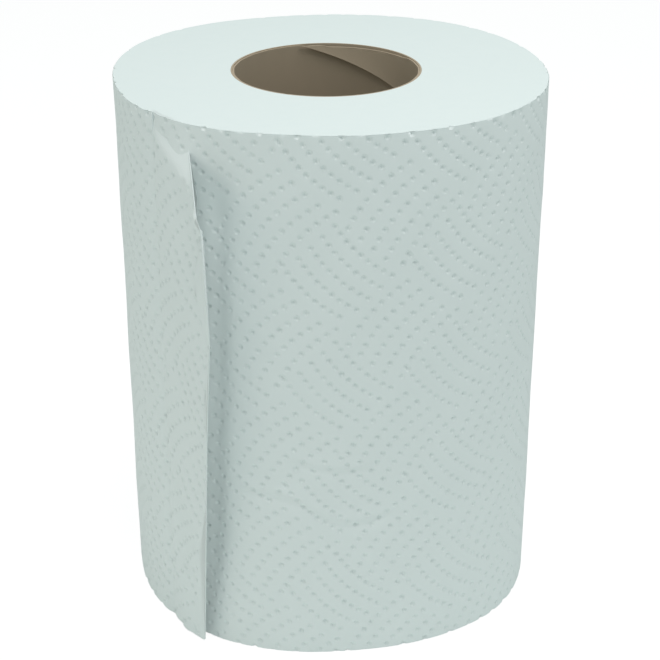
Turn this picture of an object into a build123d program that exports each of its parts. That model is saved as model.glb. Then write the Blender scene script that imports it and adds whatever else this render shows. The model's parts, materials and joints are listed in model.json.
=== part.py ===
from build123d import *
import os

# A free-standing paper towel roll, in millimetres.
# The origin is on the core's axis in the plane the roll stands on, and +Z runs up the axis.
# Angles are measured about +Z from +X, and the web winds outward anticlockwise from above.

# ---- Driving dimensions ----------------------------------------------------------------------
roll_diameter = 137.0
roll_height = 175.0  # the width of the web, and the length of the core

core_bore = 57.8
core_ply_thickness = 0.55  # each of the two kraft strips that the core is wound from

sheet_thickness = 0.4  # the embossed two-ply towel, before the winding presses it
tail_angle = -139.0  # where the glue line holds the last sheet to the roll
tail_flare = 9.0  # how far the tail leans out from the tangent there, in degrees
tail_root = 4.0  # the stretch before the glue line that is still part of the roll
tail_tear_depth = 4.5  # the torn upper edge lies this far below the roll's top face

# The tail's free edge from foot to top: its reach from the glue line, and its share of the height.
tail_edge = [
    (14.5, 0.0),
    (12.5, 0.04),
    (23.0, 0.27),
    (29.0, 0.48),
    (30.0, 0.66),
    (23.5, 0.76),
    (31.0, 0.88),
    (23.0, 0.94),
    (14.5, 1.0),
]

# ---- Fits: plies and web are glued face to face ----------------------------------------------
roll_radius = roll_diameter / 2
bore_radius = core_bore / 2
ply_joint_radius = bore_radius + core_ply_thickness
core_radius = ply_joint_radius + core_ply_thickness
tail_height = roll_height - tail_tear_depth

os.makedirs("parts", exist_ok=True)

# ---- Core: an inner and an outer kraft ply ---------------------------------------------------
with BuildPart() as core_inner_ply:
    with BuildSketch():
        Circle(ply_joint_radius)
        Circle(bore_radius, mode=Mode.SUBTRACT)
    extrude(amount=roll_height)
core_inner_ply.part.label = "core_inner_ply"

with BuildPart() as core_outer_ply:
    with BuildSketch():
        Circle(core_radius)
        Circle(ply_joint_radius, mode=Mode.SUBTRACT)
    extrude(amount=roll_height)
core_outer_ply.part.label = "core_outer_ply"

# ---- Paper: the wound turns, and the tail that stands off them past the glue line ------------
tail_normal = Vector(1, 0, 0).rotate(Axis.Z, tail_angle - tail_flare)
tail_plane = Plane(
    origin=Vector(roll_radius, 0, 0).rotate(Axis.Z, tail_angle),
    x_dir=tail_normal.rotate(Axis.Z, 90),
    z_dir=tail_normal,
)
tail_edge_points = [(reach, share * tail_height) for reach, share in tail_edge]

with BuildPart() as paper_roll:
    with BuildSketch():
        Circle(roll_radius)
        Circle(core_radius, mode=Mode.SUBTRACT)
    extrude(amount=roll_height)

    with BuildSketch(tail_plane):
        with BuildLine():
            Polyline(tail_edge_points[-1], (-tail_root, tail_height), (-tail_root, 0), tail_edge_points[0])
            Spline(tail_edge_points)
        make_face()
    extrude(amount=-sheet_thickness)
paper_roll.part.label = "paper_roll"

# ---- One file for each piece -----------------------------------------------------------------
for piece in (core_inner_ply, core_outer_ply, paper_roll):
    export_step(piece.part, f"parts/{piece.part.label}.step")
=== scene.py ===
"""Kitchen towel roll: an embossed paper web on an open kraft core, with its last sheet's torn end loose.

The file is laid out as a Blender add-on and is run as a script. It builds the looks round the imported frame.

The shape functions work in millimetres, and a mesh is turned into metres once, when it is made.
The outer lap is drawn flat first, as (around, up): around runs anticlockwise from the crease where the
loose end leaves the roll, and up runs from the floor. One dot pattern runs along the whole web.
"""

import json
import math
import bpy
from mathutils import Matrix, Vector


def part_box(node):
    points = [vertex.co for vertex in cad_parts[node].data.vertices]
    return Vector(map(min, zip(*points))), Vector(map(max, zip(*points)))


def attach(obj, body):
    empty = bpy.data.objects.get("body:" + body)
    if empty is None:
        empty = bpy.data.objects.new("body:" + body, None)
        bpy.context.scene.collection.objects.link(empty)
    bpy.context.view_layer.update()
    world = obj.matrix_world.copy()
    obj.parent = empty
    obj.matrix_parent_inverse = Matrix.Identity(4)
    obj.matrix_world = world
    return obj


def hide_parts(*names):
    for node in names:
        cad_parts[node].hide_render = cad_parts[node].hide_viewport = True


bl_info = {
    "name": "Kitchen Towel Roll",
    "version": (1, 0, 0),
    "blender": (4, 5, 0),
    "location": "View3D > Sidebar > Towel Roll",
    "description": "Builds an embossed paper towel roll on a kraft core round its packed CAD frame",
    "category": "Add Mesh",
}

import bpy
import numpy as np
from bpy.props import FloatProperty, FloatVectorProperty, PointerProperty
from mathutils import Vector
from mathutils.geometry import delaunay_2d_cdt

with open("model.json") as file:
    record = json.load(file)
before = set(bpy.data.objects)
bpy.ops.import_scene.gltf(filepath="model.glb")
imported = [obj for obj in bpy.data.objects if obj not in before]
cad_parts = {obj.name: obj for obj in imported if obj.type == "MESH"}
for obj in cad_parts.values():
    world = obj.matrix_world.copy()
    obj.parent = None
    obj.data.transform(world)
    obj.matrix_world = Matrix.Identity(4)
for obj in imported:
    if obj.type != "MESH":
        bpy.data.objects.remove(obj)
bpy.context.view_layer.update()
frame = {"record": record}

MM = 0.001
TURN = 2 * math.pi


def in_mm(length):
    return length / MM


# ---------------------------------------------------------------- sizes that the frame gives

ROLL_RADIUS = in_mm(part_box("paper_roll")[1].x)
ROLL_HEIGHT = in_mm(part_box("paper_roll")[1].z)
CORE_RADIUS = in_mm(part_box("core_outer_ply")[1].x)
JOINT_RADIUS = in_mm(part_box("core_inner_ply")[1].x)
BORE_RADIUS = next(m["dims"]["r_mm"] for m in frame["record"]["mounts"] if m["kind"] == "bore")
LAP = TURN * ROLL_RADIUS
CREASE = math.radians(-139.0)


# ---------------------------------------------------------------- small number helpers


def hill(value, centre, width):
    """A smooth bump of height 1 round centre."""
    return np.exp(-(((value - centre) / width) ** 2))


def ramp(value, start, end):
    """0 before start, 1 after end, and smooth between."""
    share = np.clip((value - start) / (end - start), 0.0, 1.0)
    return share * share * (3 - 2 * share)


def through(points, value):
    """A smooth curve through a few (place, amount) points."""
    places = np.array([p[0] for p in points], float)
    amounts = np.array([p[1] for p in points], float)
    slopes = np.gradient(amounts, places)
    i = np.clip(np.searchsorted(places, value) - 1, 0, len(places) - 2)
    step = places[i + 1] - places[i]
    t = np.clip((value - places[i]) / step, 0.0, 1.0)
    rest = 1 - t
    flat = rest * rest * (1 + 2 * t) * amounts[i] + t * t * (3 - 2 * t) * amounts[i + 1]
    return flat + t * rest * step * (rest * slopes[i] - t * slopes[i + 1])


def scatter(a, b, c):
    """A number from 0 to 1 that looks random and is fixed for each dot."""
    mixed = np.sin(a * 12.9898 + b * 78.233 + c * 37.719) * 43758.5453
    return mixed - np.floor(mixed)


def waves(seed, count, longest, shortest, size):
    """A fixed set of gentle waves, for unevenness that repeats each turn."""
    rng = np.random.default_rng(seed)
    made = []
    for _ in range(count):
        length = rng.uniform(shortest, longest)
        slant = rng.uniform(-1.0, 1.0)
        turns = round(LAP / length)
        made.append((turns, slant * TURN / length, rng.uniform(0, TURN), size / math.sqrt(count)))
    return made


def wave_sum(made, around, up):
    """The height of a set of waves at each point."""
    total = np.zeros_like(around)
    for turns, rise, phase, size in made:
        total += size * np.sin(turns * around * TURN / LAP + rise * up + phase)
    return total


# ---------------------------------------------------------------- the embossed pattern

REPEAT = np.array([[38.5, 0.17], [1.83, -36.83]])
REPEAT_BACK = np.linalg.inv(REPEAT)
PATTERN_LEAD = 31.08
ARCS_EACH_SIDE = 2
DOTS_EACH_SIDE = 4
ARC_BLOCKS = (
    # middle dot, step to the next arc, heading, bend radius, dot pitch, arc that is slipped, slip
    ((14.39, -9.93), (3.60, 3.40), -43.0, 47.0, 2.98, -2, -1.9),
    ((33.29, -27.46), (3.80, -3.35), 46.0, -44.0, 3.32, 2, 2.1),
)
BACK_SLIP = (-3.5, -0.5)


def dots_in_repeat():
    """The dots of one repeat: two blocks of parallel arcs that slant opposite ways."""
    dots = []
    for middle, step, heading, bend, pitch, slipped, slip in ARC_BLOCKS:
        along = math.radians(heading)
        for row in range(-ARCS_EACH_SIDE, ARCS_EACH_SIDE + 1):
            shift = slip if row == slipped else 0.0
            x = middle[0] + row * step[0] + shift * math.cos(along)
            y = middle[1] + row * step[1] + shift * math.sin(along)
            for place in range(-DOTS_EACH_SIDE, DOTS_EACH_SIDE + 1):
                turn = place * pitch / bend
                ahead = bend * math.sin(turn)
                aside = bend * (1 - math.cos(turn))
                dots.append(
                    (
                        x + ahead * math.cos(along) - aside * math.sin(along),
                        y + ahead * math.sin(along) + aside * math.cos(along),
                    )
                )
    return np.array(dots)


DOTS = dots_in_repeat()


def back_blend(around):
    """Where the pattern takes up the difference between one lap and whole repeats, out at the back."""
    return ramp(around, 175.0, 370.0)


def lap_misfit():
    """How far the pattern on the outer lap is from the pattern one lap below."""
    whole = round(LAP / REPEAT[0, 0])
    x = whole * REPEAT[0, 0] - LAP + BACK_SLIP[0] + REPEAT[0, 1]
    y = whole * REPEAT[1, 0] + REPEAT[1, 1] + BACK_SLIP[1]
    return x, y


MISFIT = lap_misfit()


def to_pattern(around, up):
    """Where a point of the web lies in the dot pattern."""
    share = back_blend(around)
    return around + PATTERN_LEAD + share * MISFIT[0], up - ROLL_HEIGHT + share * MISFIT[1]


def emboss(around, up, radius):
    """How deep each point lies in its dot: 0 outside the dots to about 1 at a dot's middle."""
    x, y = to_pattern(around, up)
    deep = np.zeros_like(x)
    for i, (dot_x, dot_y) in enumerate(DOTS):
        u = REPEAT_BACK[0, 0] * (x - dot_x) + REPEAT_BACK[0, 1] * (y - dot_y)
        v = REPEAT_BACK[1, 0] * (x - dot_x) + REPEAT_BACK[1, 1] * (y - dot_y)
        cell_u = np.round(u)
        cell_v = np.round(v)
        off_x = REPEAT[0, 0] * (u - cell_u) + REPEAT[0, 1] * (v - cell_v)
        off_y = REPEAT[1, 0] * (u - cell_u) + REPEAT[1, 1] * (v - cell_v)
        distance = np.hypot(off_x, off_y)
        near = distance < radius
        strength = 0.78 + 0.34 * scatter(cell_u[near], cell_v[near], float(i))
        dent = strength * np.cos(distance[near] * math.pi / 2 / radius) ** 2
        deep[near] = np.maximum(deep[near], dent)
    return deep


def dot_places(first, last, low, high):
    """The middles of every dot in a stretch of the web."""
    found = []
    corners = []
    for around in (first, (first + last) / 2, last):
        for up in (low, high):
            x, y = to_pattern(np.array([around]), np.array([up]))
            corners.append(REPEAT_BACK @ np.array([x[0], y[0]]))
    corners = np.array(corners)
    u_range = range(math.floor(corners[:, 0].min()) - 2, math.ceil(corners[:, 0].max()) + 3)
    v_range = range(math.floor(corners[:, 1].min()) - 2, math.ceil(corners[:, 1].max()) + 3)
    for u in u_range:
        for v in v_range:
            found.append(DOTS + REPEAT @ np.array([u, v]))
    found = np.concatenate(found)
    around = found[:, 0] - PATTERN_LEAD
    for _ in range(12):
        around = found[:, 0] - PATTERN_LEAD - back_blend(around) * MISFIT[0]
    up = found[:, 1] + ROLL_HEIGHT - back_blend(around) * MISFIT[1]
    inside = (around > first) & (around < last) & (up > low) & (up < high)
    return np.stack([around[inside], up[inside]], 1)


def rings_round(middles, radius, sides_and_shares):
    """Points at each dot's middle and on rings round it."""
    points = [middles]
    for sides, share in sides_and_shares:
        for i in range(sides):
            angle = TURN * (i + 0.5 * share) / sides
            offset = radius * share * np.array([math.cos(angle), math.sin(angle)])
            points.append(middles + offset)
    return np.concatenate(points)


# ---------------------------------------------------------------- meshes


def flat_triangles(points, outline=None):
    """Delaunay triangles over flat points. With an outline, only the triangles inside it."""
    faces = [outline] if outline is not None else []
    kind = 1 if outline is not None else 0
    made = delaunay_2d_cdt([tuple(p) for p in points], [], faces, kind, 1e-5, False)
    places = np.array([(p[0], p[1]) for p in made[0]])
    triangles = np.array(made[2], dtype=int)
    used = np.unique(triangles)
    renumber = np.full(len(places), -1)
    renumber[used] = np.arange(len(used))
    return places[used], renumber[triangles]


def border_edges(triangles):
    """The directed edges that only one triangle uses."""
    edges = np.concatenate([triangles[:, [0, 1]], triangles[:, [1, 2]], triangles[:, [2, 0]]])
    seen = {(int(a), int(b)) for a, b in edges}
    return [(a, b) for a, b in sorted(seen) if (b, a) not in seen]


def unit(vectors):
    length = np.linalg.norm(vectors, axis=1, keepdims=True)
    return vectors / np.maximum(length, 1e-12)


def surface_normals(shape, first, second, step=0.03):
    """Normals of shape(first, second), whose two directions turn the outward way."""
    here = shape(first, second)
    one = shape(first + step, second) - here
    two = shape(first, second + step) - here
    return unit(np.cross(one, two))


def make_piece(name, points, faces, normals=None, flat=None, materials=(), face_material=None):
    """A mesh object from millimetre points. normals and flat have one row for each face corner."""
    mesh = bpy.data.meshes.new(name)
    mesh.from_pydata((np.asarray(points) * MM).tolist(), [], [list(map(int, f)) for f in faces])
    mesh.polygons.foreach_set("use_smooth", np.ones(len(mesh.polygons), bool))
    if flat is not None:
        layer = mesh.uv_layers.new(name="web")
        layer.data.foreach_set("uv", (np.asarray(flat) * MM).astype(np.float32).ravel())
    for material in materials:
        mesh.materials.append(material)
    if face_material is not None:
        mesh.polygons.foreach_set("material_index", np.asarray(face_material, np.int32))
    mesh.update()
    if normals is not None:
        mesh.normals_split_custom_set(np.asarray(normals).tolist())
    piece = bpy.data.objects.new(name, mesh)
    bpy.context.scene.collection.objects.link(piece)
    return piece


def place_piece(piece, nodes):
    """Hangs a piece on the root body and hides the CAD nodes that it stands for."""
    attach(piece, "root")
    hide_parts(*nodes)


# ---------------------------------------------------------------- the outer lap

SOFT_WAVES = waves(seed=11, count=9, longest=95.0, shortest=34.0, size=0.16)
FINE_WAVES = waves(seed=12, count=10, longest=22.0, shortest=11.0, size=0.035)
GROOVE_LINE = ((0, 16.5), (18, 17.7), (45, 20.0), (71, 21.5), (105, 23.2), (149, 25.0), (175, 26.0))
WRINKLES = (
    # (around, up) along the wrinkle, depth, width
    (((43.0, 70.7), (62.5, 66.6), (76.0, 68.2)), 0.22, 1.1),
    (((25.1, 58.9), (47.8, 55.5), (62.5, 47.6), (76.1, 49.5), (82.0, 51.3)), 0.30, 1.2),
)
WEB_OFFSET = (1.2, 0.6)


def squareness(angle, up, amount):
    """The roll was squeezed in its pack, so it is a little square, and more so low down."""
    lobes = np.cos(4 * (angle + math.radians(36))) + 0.5 * np.cos(2 * angle)
    return amount * lobes * (1.0 + 0.4 * (1.0 - up / ROLL_HEIGHT))


def swell(around, up):
    """The broad unevenness of the outer lap, out from the roll."""
    total = wave_sum(SOFT_WAVES, around, up) + wave_sum(FINE_WAVES, around, up)
    total -= 0.7 * (hill(around, 0.0, 2.0) + hill(around, LAP, 2.0))
    groove = through(GROOVE_LINE, up)
    total -= 1.5 * hill(around, groove, 3.8) * ramp(up, -10.0, 35.0) * (1 - ramp(up, 146.0, 166.0))
    total += 1.5 * hill(around, 13.0, 6.0) * hill(up, 161.0, 9.0)
    for line, depth, width in WRINKLES:
        ends = (line[0][0], line[-1][0])
        fade = ramp(around, ends[0], ends[0] + 8) * (1 - ramp(around, ends[1] - 8, ends[1]))
        away = up - through(line, around)
        total -= depth * fade * (hill(away, 0.0, width) - 0.6 * hill(away, 2.2 * width, 1.4 * width))
    return total


def outer_point(around, up, settings):
    """A point on the outer lap. The lap climbs by one sheet over the turn."""
    angle = CREASE + around / ROLL_RADIUS
    radius = ROLL_RADIUS - in_mm(settings.sheet) * (1 - around / LAP)
    radius = radius + squareness(angle, up, in_mm(settings.squareness)) + swell(around, up)
    dot = emboss(around, up, in_mm(settings.dot_radius))
    radius = radius - in_mm(settings.dot_depth) * dot
    x = WEB_OFFSET[0] + radius * np.cos(angle)
    y = WEB_OFFSET[1] + radius * np.sin(angle)
    return np.stack([x, y, up], 1)


END_BEVEL = 0.22
RIM_COLUMNS = 400
STEP_ROWS = 120
END_RINGS = (0.25, 0.55, 0.8, 1.1, 2.2, 4.5, 8.0, 12.0, 16.0, 21.0, 26.0, 31.0, 35.0)
END_WAVES = waves(seed=21, count=8, longest=120.0, shortest=40.0, size=0.12)


def end_height(angle, inset):
    """How far the cut end stands above or below its level, with a slit where the outer laps are loose."""
    level = wave_sum(END_WAVES, angle * ROLL_RADIUS, inset * 3.0)
    loose = ramp(angle, math.radians(-143), math.radians(-139)) * (
        1 - ramp(angle, math.radians(-134), math.radians(-129))
    )
    return level - 2.0 * loose * hill(inset, 0.68, 0.16)


def wound_turns_mesh(settings):
    """The closed body of the roll: embossed side, two cut ends and the wall against the core."""
    low, high = END_BEVEL, ROLL_HEIGHT - END_BEVEL
    radius = in_mm(settings.dot_radius)
    middles = dot_places(-2.0, LAP + 2.0, -2.0, ROLL_HEIGHT + 2.0)
    inner = rings_round(middles, radius, ((6, 0.5), (8, 1.0)))
    keep = (inner[:, 0] > 0.25) & (inner[:, 0] < LAP - 0.25)
    keep &= (inner[:, 1] > low + 0.25) & (inner[:, 1] < high - 0.25)
    inner = inner[keep]
    columns = np.linspace(0.0, LAP, RIM_COLUMNS + 1)
    rises = np.linspace(low, high, STEP_ROWS)
    extra = [np.stack([columns, np.full_like(columns, level)], 1) for level in (low, high)]
    extra += [np.stack([np.full(STEP_ROWS - 2, edge), rises[1:-1]], 1) for edge in (0.0, LAP)]
    heights = np.arange(4.0, ROLL_HEIGHT - 3.0, 2.1)
    for aside in (-4.0, -2.0, 0.0, 2.0, 4.0):
        extra.append(np.stack([through(GROOVE_LINE, heights) + aside, heights], 1))
    for line, _, width in WRINKLES:
        run = np.arange(line[0][0], line[-1][0], 1.3)
        for aside in (-1.0, 0.0, 1.0, 2.2):
            extra.append(np.stack([run, through(line, run) + aside * width], 1))
    points = np.concatenate([inner] + extra)
    places, triangles = flat_triangles(points)
    around, up = places[:, 0], places[:, 1]

    def shape(first, second):
        return outer_point(first, second, settings)

    body = [shape(around, up)]
    body_normals = surface_normals(shape, around, up)
    faces = [list(t) for t in triangles]
    corner_normals = list(body_normals[triangles].reshape(-1, 3))
    corner_flat = list(places[triangles].reshape(-1, 2))
    face_kind = [0] * len(faces)
    count = len(places)

    def border(mask, key):
        found = np.nonzero(mask)[0]
        return found[np.argsort(key[found])]

    start_column = border(around < 1e-3, up)
    end_column = border(around > LAP - 1e-3, up)
    for i in range(len(start_column) - 1):
        a, b = start_column[i], start_column[i + 1]
        c, d = end_column[i + 1], end_column[i]
        faces.append([a, b, c, d])
        step_normal = (-math.sin(CREASE), math.cos(CREASE), 0.0)
        corner_normals += [step_normal] * 4
        corner_flat += [places[a], places[b], places[c], places[d]]
        face_kind.append(0)

    angles = CREASE + columns[:-1] / ROLL_RADIUS
    whole = len(angles)
    bore_rings = []
    for side in (1, -1):
        rim = border(np.abs(up - (high if side > 0 else low)) < 1e-3, around)
        centred = body[0][rim][:, :2] - np.array(WEB_OFFSET)
        squeezed = np.hypot(centred[:, 0], centred[:, 1])[:whole] - ROLL_RADIUS
        level_normal = (0.0, 0.0, float(side))
        before = list(rim)
        for inset in END_RINGS + (ROLL_RADIUS - CORE_RADIUS,):
            share = inset / (ROLL_RADIUS - CORE_RADIUS)
            ring_radius = ROLL_RADIUS + squeezed * (1 - share) - inset
            centre = np.array(WEB_OFFSET) * (1 - share)
            x = centre[0] + ring_radius * np.cos(angles)
            y = centre[1] + ring_radius * np.sin(angles)
            z = np.zeros(whole)
            if side > 0:
                rise = 0.0 if share == 1.0 else end_height(angles, np.full(whole, inset))
                z = z + ROLL_HEIGHT + rise
            body.append(np.stack([x, y, z], 1))
            ring = list(range(count, count + whole))
            count += whole
            cells = []
            for k in range(whole):
                beyond = before[k + 1] if len(before) > whole else before[(k + 1) % whole]
                cells.append([before[k], beyond, ring[(k + 1) % whole], ring[k]])
            if len(before) > whole:
                cells.append([before[whole], before[0], ring[0]])
            for cell in cells:
                if side < 0:
                    cell.reverse()
                faces.append(cell)
                face_kind.append(1)
                soft = len(cell) == 4
                for corner in cell:
                    on_side = soft and corner < len(places)
                    corner_normals.append(tuple(body_normals[corner]) if on_side else level_normal)
                    corner_flat.append((0.0, 0.0))
            before = ring
        bore_rings.append(before)
    top_bore, low_bore = bore_rings
    for k in range(whole):
        following = (k + 1) % whole
        faces.append([top_bore[k], top_bore[following], low_bore[following], low_bore[k]])
        face_kind.append(1)
        for index in (k, following, following, k):
            corner_normals.append((-math.cos(angles[index]), -math.sin(angles[index]), 0.0))
            corner_flat.append((0.0, 0.0))
    return np.concatenate(body), faces, np.array(corner_normals), np.array(corner_flat), face_kind


# ---------------------------------------------------------------- the loose end

TAIL_OUTLINE = (
    # (reach from the crease, height), round the torn end, starting up the crease
    (0.0, 0.4), (0.0, 60.0), (0.0, 120.0), (0.0, 170.4), (5.0, 170.9), (10.0, 170.1), (14.3, 169.6),
    (20.9, 162.0), (24.5, 158.0), (31.2, 153.0), (30.9, 144.0), (26.3, 139.0), (24.1, 136.0),
    (23.4, 128.0), (25.9, 119.5), (29.2, 115.0), (30.3, 112.6), (28.8, 94.0), (29.0, 80.0),
    (26.8, 67.0), (23.2, 45.5), (20.8, 32.0), (16.4, 20.0), (12.6, 8.0), (12.4, 3.4), (19.5, 0.6),
    (12.6, 0.5),
)
FOLD_START = (0.0, 170.0)
FOLD_END = (24.0, 157.0)
TAIL_SPACING = 1.3


def past_fold(reach, up):
    """How far a point lies past the slanting fold that bends the top corner in."""
    run, rise = FOLD_END[0] - FOLD_START[0], FOLD_END[1] - FOLD_START[1]
    length = math.hypot(run, rise)
    return ((reach - FOLD_START[0]) * -rise + (up - FOLD_START[1]) * run) / length


def tail_point(reach, up, settings):
    """A point on the outside of the loose end, which leans out from the crease."""
    at_crease = np.full_like(reach, LAP)
    radius = ROLL_RADIUS + squareness(CREASE, up, in_mm(settings.squareness)) + swell(at_crease, up)
    past = past_fold(reach, up)
    lift = math.tan(settings.flare) * reach + 0.7 * (1 - hill(reach, 0.0, 2.0))
    lift -= math.tan(settings.corner_bend) * np.log1p(np.exp(np.clip(past / 0.7, -30, 30))) * 0.7
    lift += 2.6 * hill(reach, 31.0, 4.5) * hill(up, 152.5, 3.6)
    lift += 0.55 * np.sin(0.23 * reach + 0.085 * up) * ramp(reach, 2.0, 14.0)
    lift += 0.5 * hill(reach + 0.35 * (up - 100.0), 16.0, 5.0) * ramp(reach, 2.0, 9.0)
    lift -= 1.4 * ramp(reach, 9.0, 22.0) * (1 - ramp(up, 6.0, 40.0))
    dot = emboss(LAP + reach, up, in_mm(settings.dot_radius)) * (1 - ramp(past, -1.0, 1.0))
    lift -= in_mm(settings.dot_depth) * dot
    out = np.array([math.cos(CREASE), math.sin(CREASE)])
    ahead = np.array([-math.sin(CREASE), math.cos(CREASE)])
    x = WEB_OFFSET[0] + (radius + lift) * out[0] + reach * ahead[0]
    y = WEB_OFFSET[1] + (radius + lift) * out[1] + reach * ahead[1]
    return np.stack([x, y, up], 1)


def ragged_outline():
    """The outline in steps of about a millimetre, with a torn edge everywhere but at the crease."""
    rng = np.random.default_rng(31)
    path = []
    for i, start in enumerate(TAIL_OUTLINE):
        end = TAIL_OUTLINE[(i + 1) % len(TAIL_OUTLINE)]
        count = max(1, round(math.dist(start, end) / 0.9))
        for k in range(count):
            share = k / count
            x = start[0] + (end[0] - start[0]) * share
            y = start[1] + (end[1] - start[1]) * share
            torn = 0.0 if x < 1e-6 else 0.22
            path.append((x + rng.normal(0, torn), max(0.35, y + rng.normal(0, torn))))
    return np.array(path)


def inside_outline(points, path):
    """True for each point inside the closed path."""
    inside = np.zeros(len(points), bool)
    for (ax, ay), (bx, by) in zip(path, np.roll(path, -1, axis=0)):
        crosses = (ay > points[:, 1]) != (by > points[:, 1])
        if ay != by:
            meets = (bx - ax) * (points[:, 1] - ay) / (by - ay) + ax
            inside ^= crosses & (points[:, 0] < meets)
    return inside


def loose_tail_mesh(settings):
    """The loose end as a closed thin sheet, dotted on both faces."""
    path = ragged_outline()
    middles = dot_places(LAP, LAP + 34.0, 0.0, ROLL_HEIGHT) - np.array([LAP, 0.0])
    middles = middles[past_fold(middles[:, 0], middles[:, 1]) < 0.0]
    dots = rings_round(middles, in_mm(settings.dot_radius), ((6, 0.5), (8, 1.0)))
    grid = np.stack(np.meshgrid(np.arange(0.7, 33.0, TAIL_SPACING), np.arange(1.0, 172.0, TAIL_SPACING)), -1)
    grid = grid.reshape(-1, 2)
    gaps = np.hypot(*(grid[:, None] - middles[None]).transpose(2, 0, 1)).min(1)
    inner = np.concatenate([dots, grid[gaps > in_mm(settings.dot_radius) * 1.3]])
    clear = np.hypot(*(inner[:, None] - path[None]).transpose(2, 0, 1)).min(1) > 0.45
    inner = inner[inside_outline(inner, path) & clear]
    places, triangles = flat_triangles(np.concatenate([path, inner]), list(range(len(path))))
    reach, up = places[:, 0], places[:, 1]

    def shape(first, second):
        return tail_point(first, second, settings)

    front = shape(reach, up)
    normals = surface_normals(shape, reach, up)
    back = front - normals * in_mm(settings.sheet) * 0.8
    count = len(places)
    faces = [list(t) for t in triangles] + [[c + count, b + count, a + count] for a, b, c in triangles]
    corner_normals = list(normals[triangles].reshape(-1, 3))
    corner_normals += list(-normals[triangles[:, ::-1]].reshape(-1, 3))
    corner_flat = list((places[triangles] + [LAP, 0.0]).reshape(-1, 2))
    corner_flat += list((places[triangles[:, ::-1]] + [LAP, 0.0]).reshape(-1, 2))
    for a, b in border_edges(triangles):
        faces.append([b, a, a + count, b + count])
        edge = front[b] - front[a]
        sideways = np.cross(edge, normals[a])
        corner_normals += [sideways / max(np.linalg.norm(sideways), 1e-9)] * 4
        corner_flat += [places[b], places[a], places[a], places[b]]
    return np.concatenate([front, back]), faces, np.array(corner_normals), np.array(corner_flat)


# ---------------------------------------------------------------- the core

SEAM_RISE = 61.0
SEAM_TOP = math.radians(108.0)
STRIP_GAP = 0.12
STRIP_COLUMN = math.radians(3.0)
CRISP_ANGLE = math.radians(40.0)
STRIP_ROWS = (0.0, 0.004, 0.012, 0.03, 0.06, 0.1, 0.17, 0.26, 0.38, 0.5, 0.62, 0.75, 0.87, 0.95, 0.985, 1.0)


def core_strip_mesh(inside, outside, seam_top, lift, sunk):
    """One kraft strip wound in a spiral. lift pulls its edge in along the top of the seam."""
    end = seam_top
    start = end - TURN * (ROLL_HEIGHT / SEAM_RISE + 1)
    angles = np.linspace(start, end, math.ceil((end - start) / STRIP_COLUMN))
    seam = ROLL_HEIGHT - (end - angles) / TURN * SEAM_RISE
    window = ramp(angles, end - 1.55, end - 1.3) * (1 - ramp(angles, end - 0.35, end - 0.2))
    above = ramp(angles, end - TURN - 1.55, end - TURN - 1.3)
    roof = ROLL_HEIGHT - sunk * np.maximum(window, 0.35 * above)
    floor = np.clip(seam + STRIP_GAP, 0.0, None)
    top = np.minimum(roof, seam + SEAM_RISE - STRIP_GAP)
    top = np.maximum(top, floor + 0.05)
    rows = np.array(STRIP_ROWS)
    height = floor[:, None] + (top - floor)[:, None] * rows[None, :]
    height = np.minimum(height, ROLL_HEIGHT)
    grip = ramp(angles, end - 1.75, end - 0.7)[:, None]
    pulled = lift * grip * np.exp(-(height - seam[:, None]) / 6.0)
    frayed = 0.05 * np.sin(angles * 23.0)[:, None] * (rows[None, :] > 0.97)
    faces = []
    shells = []
    for radius in (inside, outside):
        reach = radius - pulled + frayed * (lift > 0)
        x = reach * np.cos(angles)[:, None]
        y = reach * np.sin(angles)[:, None]
        shells.append(np.stack([x, y, height], -1).reshape(-1, 3))
    columns, across = height.shape
    count = columns * across
    for i in range(columns - 1):
        for j in range(across - 1):
            a = i * across + j
            b, c, d = a + across, a + across + 1, a + 1
            faces.append([d, c, b, a])
            faces.append([a + count, b + count, c + count, d + count])
        for j in (0, across - 1):
            a, b = i * across + j, (i + 1) * across + j
            quad = [a, b, b + count, a + count]
            faces.append(quad if j == 0 else quad[::-1])
    for i in (0, columns - 1):
        for j in range(across - 1):
            a = i * across + j
            quad = [a, a + count, a + 1 + count, a + 1]
            faces.append(quad if i == 0 else quad[::-1])
    run = np.repeat(angles * inside, across)
    flat = np.stack([run, (height - seam[:, None]).reshape(-1)], 1)
    flat = np.concatenate([flat, flat])
    corners = [flat[index] for face in faces for index in face]
    return np.concatenate(shells), faces, np.array(corners)


# ---------------------------------------------------------------- materials


def node(tree, kind, inputs=None, **values):
    """A new shader node. An input is linked when it is given a socket, and set when it is given a value."""
    made = tree.nodes.new(kind)
    for key, value in values.items():
        setattr(made, key, value)
    for key, value in (inputs or {}).items():
        if hasattr(value, "is_output"):
            tree.links.new(value, made.inputs[key])
        else:
            made.inputs[key].default_value = value
    return made


def mix_colour(tree, share, first, second):
    """The colour a share of the way from first to second."""
    mixed = node(tree, "ShaderNodeMix", data_type="RGBA")
    tree.links.new(share, mixed.inputs[0])
    tree.links.new(first, mixed.inputs[6])
    tree.links.new(second, mixed.inputs[7])
    return mixed.outputs[2]


def seen_or_mirrored(tree):
    """A mask that is 1 for camera rays and glossy rays, and the light path node it comes from."""
    path = node(tree, "ShaderNodeLightPath")
    rays = {0: path.outputs["Is Camera Ray"], 1: path.outputs["Is Glossy Ray"]}
    return node(tree, "ShaderNodeMath", rays, operation="MAXIMUM").outputs[0], path


def new_group(name, inputs, outputs):
    """An empty node group with its sockets."""
    group = bpy.data.node_groups.new(name, "ShaderNodeTree")
    for label, kind, default in inputs:
        socket = group.interface.new_socket(name=label, in_out="INPUT", socket_type=kind)
        socket.default_value = default
    for label, kind in outputs:
        group.interface.new_socket(name=label, in_out="OUTPUT", socket_type=kind)
    return group


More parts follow.
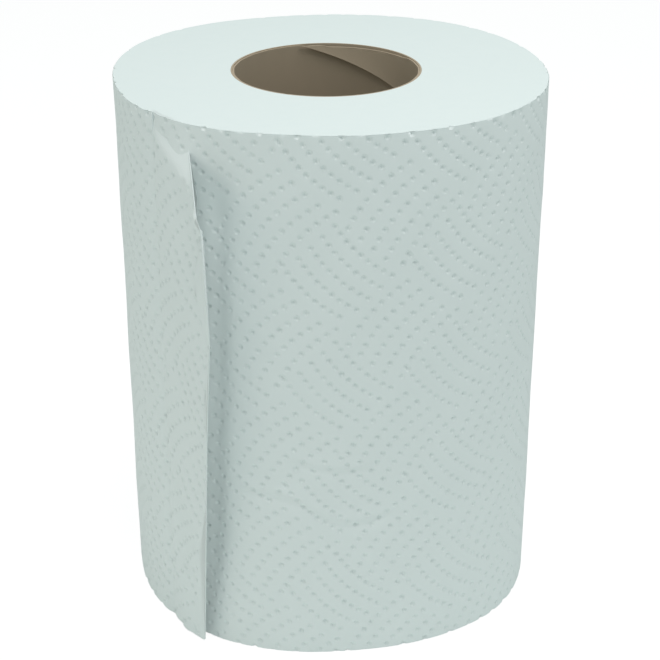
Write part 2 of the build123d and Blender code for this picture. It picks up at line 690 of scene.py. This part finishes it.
def paper_fibre_group():
    """Soft mottling and fibre relief of creped tissue."""
    name = "paper_fibre"
    if name in bpy.data.node_groups:
        return bpy.data.node_groups[name]
    group = new_group(
        name,
        (
            ("Colour", "NodeSocketColor", (0.8, 0.8, 0.8, 1)),
            ("Shade", "NodeSocketColor", (0.7, 0.7, 0.7, 1)),
            ("Mottle", "NodeSocketFloat", 0.3),
            ("Crepe", "NodeSocketFloat", 1.0),
        ),
        (("Colour", "NodeSocketColor"), ("Height", "NodeSocketFloat")),
    )
    start = group.nodes.new("NodeGroupInput")
    end = group.nodes.new("NodeGroupOutput")
    place = node(group, "ShaderNodeNewGeometry")
    web = node(group, "ShaderNodeUVMap", uv_map="web")
    cloud = node(
        group, "ShaderNodeTexNoise", {"Vector": place.outputs["Position"], "Scale": 260.0, "Detail": 4.0}
    )
    fibre = node(
        group, "ShaderNodeTexNoise", {"Vector": place.outputs["Position"], "Scale": 1900.0, "Detail": 3.0}
    )
    stretch = node(
        group, "ShaderNodeVectorMath", {0: web.outputs["UV"], 1: (900.0, 160.0, 0.0)}, operation="MULTIPLY"
    )
    crepe = node(
        group, "ShaderNodeTexNoise", {"Vector": stretch.outputs["Vector"], "Scale": 1.0, "Detail": 2.0}
    )
    spread = node(
        group,
        "ShaderNodeMapRange",
        {"Value": cloud.outputs["Fac"], "From Min": 0.3, "From Max": 0.7, "To Min": 0.0, "To Max": 1.0},
    )
    share = node(
        group,
        "ShaderNodeMath",
        {0: spread.outputs["Result"], 1: start.outputs["Mottle"]},
        operation="MULTIPLY",
    )
    colour = mix_colour(group, share.outputs[0], start.outputs["Colour"], start.outputs["Shade"])
    ridged = node(
        group,
        "ShaderNodeMath",
        {0: crepe.outputs["Fac"], 1: start.outputs["Crepe"]},
        operation="MULTIPLY",
    )
    height = node(
        group,
        "ShaderNodeMath",
        {0: fibre.outputs["Fac"], 1: 0.5, 2: ridged.outputs[0]},
        operation="MULTIPLY_ADD",
    )
    group.links.new(colour, end.inputs["Colour"])
    group.links.new(height.outputs[0], end.inputs["Height"])
    return group


def grouped_material(name, group, values, roughness, bump_strength, bump_distance):
    """A plain Principled material whose colour and relief come from a group."""
    material = bpy.data.materials.new(name)
    material.use_nodes = True
    tree = material.node_tree
    tree.nodes.clear()
    placed = node(tree, "ShaderNodeGroup", node_tree=group)
    for label, value in values.items():
        placed.inputs[label].default_value = value
    bump = node(
        tree,
        "ShaderNodeBump",
        {"Height": placed.outputs["Height"], "Strength": bump_strength, "Distance": bump_distance},
    )
    shader = node(
        tree,
        "ShaderNodeBsdfPrincipled",
        {
            "Base Color": placed.outputs["Colour"],
            "Normal": bump.outputs["Normal"],
            "Roughness": roughness,
            "Specular IOR Level": 0.25,
        },
    )
    output = node(tree, "ShaderNodeOutputMaterial")
    tree.links.new(shader.outputs["BSDF"], output.inputs["Surface"])
    return material


def towel_paper(settings):
    name = "towel_paper"
    if name in bpy.data.materials:
        return bpy.data.materials[name]
    values = {"Colour": (*settings.colour, 1), "Shade": (*settings.shade, 1), "Mottle": 0.5, "Crepe": 1.0}
    return grouped_material(name, paper_fibre_group(), values, 0.9, 0.35, 0.00012)


def cut_end_paper(settings):
    """The wound edges: the same paper with less mottling and no crepe."""
    name = "cut_end_paper"
    if name in bpy.data.materials:
        return bpy.data.materials[name]
    values = {"Colour": (*settings.colour, 1), "Shade": (*settings.shade, 1), "Mottle": 0.3, "Crepe": 0.0}
    return grouped_material(name, paper_fibre_group(), values, 0.95, 0.3, 0.00015)


def kraft_grain_group():
    """Long fibres, specks and cloudy tone of kraft board, running along the strip."""
    name = "kraft_grain"
    if name in bpy.data.node_groups:
        return bpy.data.node_groups[name]
    group = new_group(
        name,
        (
            ("Colour", "NodeSocketColor", (0.2, 0.16, 0.1, 1)),
            ("Dark", "NodeSocketColor", (0.1, 0.08, 0.05, 1)),
            ("Light", "NodeSocketColor", (0.4, 0.33, 0.2, 1)),
        ),
        (("Colour", "NodeSocketColor"), ("Height", "NodeSocketFloat")),
    )
    start = group.nodes.new("NodeGroupInput")
    end = group.nodes.new("NodeGroupOutput")
    web = node(group, "ShaderNodeUVMap", uv_map="web")
    long_way = node(
        group, "ShaderNodeVectorMath", {0: web.outputs["UV"], 1: (160.0, 1500.0, 0.0)}, operation="MULTIPLY"
    )
    fibre = node(
        group, "ShaderNodeTexNoise", {"Vector": long_way.outputs["Vector"], "Scale": 1.0, "Detail": 3.0}
    )
    cloud = node(group, "ShaderNodeTexNoise", {"Vector": web.outputs["UV"], "Scale": 130.0, "Detail": 3.0})
    dark = node(
        group,
        "ShaderNodeMapRange",
        {"Value": cloud.outputs["Fac"], "From Min": 0.35, "From Max": 0.75, "To Min": 0.0, "To Max": 0.55},
    )
    light = node(
        group,
        "ShaderNodeMapRange",
        {"Value": fibre.outputs["Fac"], "From Min": 0.5, "From Max": 0.8, "To Min": 0.0, "To Max": 0.5},
    )
    first = mix_colour(group, dark.outputs["Result"], start.outputs["Colour"], start.outputs["Dark"])
    second = mix_colour(group, light.outputs["Result"], first, start.outputs["Light"])
    group.links.new(second, end.inputs["Colour"])
    group.links.new(fibre.outputs["Fac"], end.inputs["Height"])
    return group


def core_kraft(settings):
    name = "core_kraft"
    if name in bpy.data.materials:
        return bpy.data.materials[name]
    values = {
        "Colour": (*settings.kraft, 1),
        "Dark": (*[c * 0.6 for c in settings.kraft], 1),
        "Light": (*[min(1.0, c * 1.5) for c in settings.kraft], 1),
    }
    return grouped_material(name, kraft_grain_group(), values, 0.8, 0.4, 0.0002)


# ---------------------------------------------------------------- settings


class TowelWebSettings(bpy.types.PropertyGroup):
    sheet: FloatProperty(
        name="Sheet",
        description="Thickness of the two-ply sheet, and the step of one turn",
        default=0.4 * MM,
        unit="LENGTH",
    )
    squareness: FloatProperty(
        name="Squareness",
        description="How far the squeezed roll is from round",
        default=1.0 * MM,
        unit="LENGTH",
    )
    dot_radius: FloatProperty(
        name="Dot radius",
        description="Radius of an embossed dot",
        default=1.25 * MM,
        unit="LENGTH",
    )
    dot_depth: FloatProperty(
        name="Dot depth",
        description="Depth of an embossed dot",
        default=0.8 * MM,
        unit="LENGTH",
    )
    flare: FloatProperty(
        name="Flare",
        description="How far the loose end leans out from the roll",
        default=math.radians(9.0),
        subtype="ANGLE",
    )
    corner_bend: FloatProperty(
        name="Corner bend",
        description="How far the loose end's top corner is bent in",
        default=math.radians(32.0),
        subtype="ANGLE",
    )
    colour: FloatVectorProperty(
        name="Paper",
        description="Colour of the bleached paper",
        subtype="COLOR",
        size=3,
        min=0.0,
        max=1.0,
        default=(0.76, 0.82, 0.815),
    )
    shade: FloatVectorProperty(
        name="Paper shade",
        description="Colour of the thinner spots in the paper",
        subtype="COLOR",
        size=3,
        min=0.0,
        max=1.0,
        default=(0.73, 0.80, 0.795),
    )


class CoreSettings(bpy.types.PropertyGroup):
    seam_lift: FloatProperty(
        name="Seam lift",
        description="How far the inner strip's edge stands in at the top of its seam",
        default=1.3 * MM,
        unit="LENGTH",
    )
    kraft: FloatVectorProperty(
        name="Kraft",
        description="Colour of the kraft board",
        subtype="COLOR",
        size=3,
        min=0.0,
        max=1.0,
        default=(0.40, 0.285, 0.10),
    )


class StudioSettings(bpy.types.PropertyGroup):
    floor: FloatVectorProperty(
        name="Floor",
        description="Colour of the plain floor",
        subtype="COLOR",
        size=3,
        min=0.0,
        max=1.0,
        default=(0.92, 0.96, 0.94),
    )
    overhead: FloatProperty(
        name="Overhead",
        description="Power of the large soft lamp above",
        default=3.7,
        unit="POWER",
    )
    fill: FloatProperty(
        name="Fill",
        description="Strength of the even light from all round",
        default=0.40,
    )
    focal: FloatProperty(
        name="Lens",
        description="Focal length of the camera, in millimetres",
        default=88.5,
    )


# ---------------------------------------------------------------- studio

FLOOR_HALF = 3.0
FLOOR_GLOW = 0.89
FLOOR_SHADOW_SHARE = (0.2, 0.2, 0.2, 1)
FILL_TINT = (0.86, 1.0, 0.98, 1)
LAMPS = (
    # name, place, target, size, share of the overhead power, colour
    ("overhead", (0.10, -0.16, 0.85), (0, -0.03, 0.1), (0.55, 0.55), 1.0, (1, 0.99, 0.98)),
    ("left", (-0.8, -0.3, 0.25), (0, 0, 0.06), (0.5, 0.4), 0.16, (1, 0.90, 0.78)),
)
CAMERA_PLACE = (1.2 * MM, -495.8 * MM, 318.4 * MM)
CAMERA_PITCH = math.radians(25.29)


def make_floor(settings):
    half = FLOOR_HALF
    corners = [(-half, -half, 0), (half, -half, 0), (half, half, 0), (-half, half, 0)]
    mesh = bpy.data.meshes.new("floor")
    mesh.from_pydata(corners, [], [(0, 1, 2, 3)])
    material = bpy.data.materials.new("pale_floor")
    material.use_nodes = True
    tree = material.node_tree
    tree.nodes.clear()
    seen, path = seen_or_mirrored(tree)
    rays = {0: seen, 1: path.outputs["Is Transmission Ray"]}
    seen_through = node(tree, "ShaderNodeMath", rays, operation="MAXIMUM")
    glow = node(tree, "ShaderNodeEmission", {"Color": (1, 1, 1, 1), "Strength": FLOOR_GLOW})
    thin = node(tree, "ShaderNodeBsdfDiffuse", {"Color": FLOOR_SHADOW_SHARE})
    bright = node(tree, "ShaderNodeAddShader", {0: glow.outputs[0], 1: thin.outputs[0]})
    plain = node(tree, "ShaderNodeBsdfDiffuse", {"Color": (*settings.floor, 1)})
    shown = {0: seen_through.outputs[0], 1: plain.outputs[0], 2: bright.outputs[0]}
    pick = node(tree, "ShaderNodeMixShader", shown)
    geometry = node(tree, "ShaderNodeNewGeometry")
    clear = node(tree, "ShaderNodeBsdfTransparent")
    sides = {0: geometry.outputs["Backfacing"], 1: pick.outputs[0], 2: clear.outputs[0]}
    both = node(tree, "ShaderNodeMixShader", sides)
    output = node(tree, "ShaderNodeOutputMaterial")
    tree.links.new(both.outputs[0], output.inputs["Surface"])
    mesh.materials.append(material)
    floor = bpy.data.objects.new("floor", mesh)
    bpy.context.scene.collection.objects.link(floor)


def make_world(scene, settings):
    world = bpy.data.worlds.new("studio")
    world.use_nodes = True
    tree = world.node_tree
    tree.nodes.clear()
    seen, _ = seen_or_mirrored(tree)
    fill = node(tree, "ShaderNodeBackground", {"Color": FILL_TINT, "Strength": settings.fill})
    white = node(tree, "ShaderNodeBackground", {"Color": (1, 1, 1, 1), "Strength": 1.0})
    pick = node(tree, "ShaderNodeMixShader", {0: seen, 1: fill.outputs[0], 2: white.outputs[0]})
    output = node(tree, "ShaderNodeOutputWorld")
    tree.links.new(pick.outputs[0], output.inputs["Surface"])
    scene.world = world


def make_lamp(scene, name, place, target, size, power, colour):
    data = bpy.data.lights.new(name, "AREA")
    data.shape = "RECTANGLE"
    data.size, data.size_y = size
    data.energy = power
    data.color = colour
    lamp = bpy.data.objects.new(name, data)
    lamp.location = place
    direction = np.array(target) - np.array(place)
    lamp.rotation_mode = "QUATERNION"
    lamp.rotation_quaternion = Vector(direction).to_track_quat("-Z", "Y")
    scene.collection.objects.link(lamp)


def make_lamps(scene, settings):
    for name, place, target, size, share, colour in LAMPS:
        make_lamp(scene, name, place, target, size, share * settings.overhead, colour)


def make_camera(scene, settings):
    data = bpy.data.cameras.new("camera")
    data.lens = settings.focal
    data.sensor_width = 36.0
    data.clip_start = 0.01
    camera = bpy.data.objects.new("camera", data)
    camera.location = CAMERA_PLACE
    camera.rotation_euler = (math.radians(90) - CAMERA_PITCH, 0.0, 0.0)
    scene.collection.objects.link(camera)
    scene.camera = camera


# ---------------------------------------------------------------- operators


class TOWEL_OT_wound_turns(bpy.types.Operator):
    """Build the wound web: the embossed side, the cut ends and the wall against the core"""

    bl_idname = "towel.wound_turns"
    bl_label = "Wound Turns"

    def execute(self, context):
        settings = context.scene.towel_web
        points, faces, normals, flat, kinds = wound_turns_mesh(settings)
        piece = make_piece(
            "wound_turns",
            points,
            faces,
            normals,
            flat,
            (towel_paper(settings), cut_end_paper(settings)),
            kinds,
        )
        place_piece(piece, ["paper_roll"])
        return {"FINISHED"}


class TOWEL_OT_loose_end(bpy.types.Operator):
    """Build the loose torn end that stands off the roll at the crease"""

    bl_idname = "towel.loose_end"
    bl_label = "Loose End"

    def execute(self, context):
        settings = context.scene.towel_web
        points, faces, normals, flat = loose_tail_mesh(settings)
        piece = make_piece("loose_tail", points, faces, normals, flat, (towel_paper(settings),))
        place_piece(piece, ["paper_roll"])
        return {"FINISHED"}


class TOWEL_OT_core_strips(bpy.types.Operator):
    """Build the core's two spiral kraft strips, the inner one with its lifted seam"""

    bl_idname = "towel.core_strips"
    bl_label = "Core Strips"

    def execute(self, context):
        settings = context.scene.towel_core
        lift = in_mm(settings.seam_lift)
        strips = (
            ("core_inner_strip", "core_inner_ply", BORE_RADIUS, JOINT_RADIUS - 0.02, SEAM_TOP, lift, 0.8),
            ("core_outer_strip", "core_outer_ply", JOINT_RADIUS, CORE_RADIUS, SEAM_TOP + 2.4, 0.0, 0.0),
        )
        for name, ply, inside, outside, seam_top, pulled, sunk in strips:
            points, faces, flat = core_strip_mesh(inside, outside, seam_top, pulled, sunk)
            piece = make_piece(name, points, faces, None, flat, (core_kraft(settings),))
            piece.data.set_sharp_from_angle(angle=CRISP_ANGLE)
            place_piece(piece, [ply])
        return {"FINISHED"}


class TOWEL_OT_studio(bpy.types.Operator):
    """Set the floor, the soft light and the camera"""

    bl_idname = "towel.studio"
    bl_label = "Studio"

    def execute(self, context):
        settings = context.scene.towel_studio
        scene = context.scene
        scene.view_settings.view_transform = "Standard"
        make_floor(settings)
        make_world(scene, settings)
        make_lamps(scene, settings)
        make_camera(scene, settings)
        return {"FINISHED"}


class TOWEL_PT_panel(bpy.types.Panel):
    bl_idname = "TOWEL_PT_panel"
    bl_label = "Towel Roll"
    bl_space_type = "VIEW_3D"
    bl_region_type = "UI"
    bl_category = "Towel Roll"

    def draw(self, context):
        layout = self.layout
        for group in (context.scene.towel_web, context.scene.towel_core, context.scene.towel_studio):
            box = layout.box()
            for label in group.bl_rna.properties.keys():
                if label not in ("rna_type", "name"):
                    box.prop(group, label)
        for operator in BUILD_ORDER:
            layout.operator(operator)


BUILD_ORDER = ("towel.wound_turns", "towel.loose_end", "towel.core_strips", "towel.studio")
CLASSES = (
    TowelWebSettings,
    CoreSettings,
    StudioSettings,
    TOWEL_OT_wound_turns,
    TOWEL_OT_loose_end,
    TOWEL_OT_core_strips,
    TOWEL_OT_studio,
    TOWEL_PT_panel,
)


def register():
    for cls in CLASSES:
        bpy.utils.register_class(cls)
    bpy.types.Scene.towel_web = PointerProperty(type=TowelWebSettings)
    bpy.types.Scene.towel_core = PointerProperty(type=CoreSettings)
    bpy.types.Scene.towel_studio = PointerProperty(type=StudioSettings)


def unregister():
    del bpy.types.Scene.towel_studio
    del bpy.types.Scene.towel_core
    del bpy.types.Scene.towel_web
    for cls in reversed(CLASSES):
        bpy.utils.unregister_class(cls)


def main():
    register()
    bpy.ops.towel.wound_turns()
    bpy.ops.towel.loose_end()
    bpy.ops.towel.core_strips()
    bpy.ops.towel.studio()


if __name__ == "__main__":
    main()
